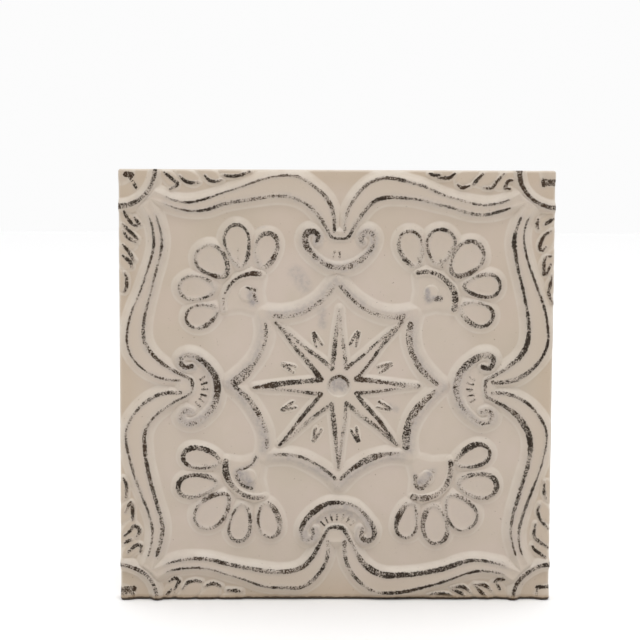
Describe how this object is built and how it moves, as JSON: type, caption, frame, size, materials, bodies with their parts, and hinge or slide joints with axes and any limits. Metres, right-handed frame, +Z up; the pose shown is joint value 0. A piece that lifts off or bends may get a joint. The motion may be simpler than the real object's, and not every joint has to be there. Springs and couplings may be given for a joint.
{
  "type": "relief tile",
  "caption": "Square ceramic wall tile with a raised star in a scalloped field, crescents, corner palmettes and S-curved border bands, under a rubbed cream glaze.",
  "frame": {"origin": "centre of the flat back face, in the plane that meets the wall", "axes": "+Y out of the back, into the wall, so the pattern faces -Y; +Z up; +X to the right as the tile is looked at from the front"},
  "size_m": [0.2, 0.0115, 0.2],
  "materials": {
    "cream_glaze": "matte cream glaze on fired clay, rubbed grey and black along the crests of the relief"
  },
  "bodies": {
    "root": {"tile": "cream_glaze"}
  },
  "joints": []
}
